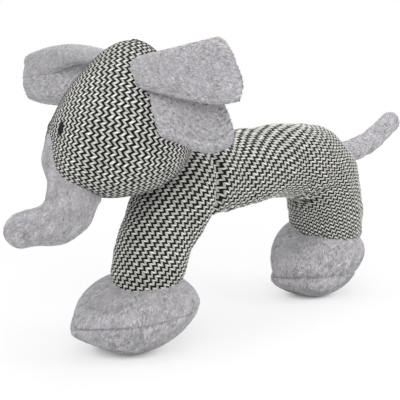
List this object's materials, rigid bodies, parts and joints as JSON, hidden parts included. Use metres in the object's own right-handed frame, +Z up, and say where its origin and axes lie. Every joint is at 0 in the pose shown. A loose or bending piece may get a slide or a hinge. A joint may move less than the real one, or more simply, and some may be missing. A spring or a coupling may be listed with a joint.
{
  "type": "stuffed dog toy",
  "caption": "Stuffed elephant dog toy: arched woven body on pillow feet, egg-shaped woven head, plush trunk, flopping folded ears and a swinging tail.",
  "frame": {"origin": "on the floor, under the middle of the whole toy's bounding box", "axes": "+X from head to tail, +Y to the toy's right, +Z up"},
  "size_m": [0.323, 0.1704, 0.162],
  "materials": {
    "woven_cloth": "coarse black and off-white herringbone weave",
    "plush": "short brushed pile",
    "fibre": "loose polyester filling",
    "thread": "satin stitch",
    "squeaker_plastic": "blown, slightly waxy"
  },
  "bodies": {
    "toy": {"body_cover": "woven_cloth", "front_leg_cover": "woven_cloth", "hind_leg_cover": "woven_cloth", "head_cover": "woven_cloth", "front_foot_upper": "plush", "front_foot_sole": "plush", "hind_foot_upper": "plush", "hind_foot_sole": "plush", "trunk_cover": "plush", "body_filling": "fibre", "front_leg_filling": "fibre", "hind_leg_filling": "fibre", "front_foot_filling": "fibre", "hind_foot_filling": "fibre", "head_filling": "fibre", "trunk_filling": "fibre", "left_eye": "thread", "right_eye": "thread", "squeaker_bulb": "squeaker_plastic", "squeaker_reed": "squeaker_plastic"},
    "left_ear": {"left_ear_front": "plush", "left_ear_back": "plush"},
    "right_ear": {"right_ear_front": "plush", "right_ear_back": "plush"},
    "tail": {"tail_cover": "plush", "tail_filling": "fibre"}
  },
  "joints": [
    {"name": "left_ear_flop", "type": "hinge", "parent": "toy", "child": "left_ear", "pos_m": [-0.09957, -0.03941, 0.118], "axis": [0.1781, 0.456, 0.872], "range_deg": [-30, 30], "stiffness_Nm_per_rad": 0.05},
    {"name": "right_ear_flop", "type": "hinge", "parent": "toy", "child": "right_ear", "pos_m": [-0.08643, 0.03509, 0.118], "axis": [0.0114, -0.4894, 0.872], "range_deg": [-30, 30], "stiffness_Nm_per_rad": 0.05},
    {"name": "tail_wag", "type": "hinge", "parent": "toy", "child": "tail", "pos_m": [0.09407, -0.00181, 0.09057], "axis": [0, 0, 1], "range_deg": [-25, 25], "stiffness_Nm_per_rad": 0.03}
  ]
}
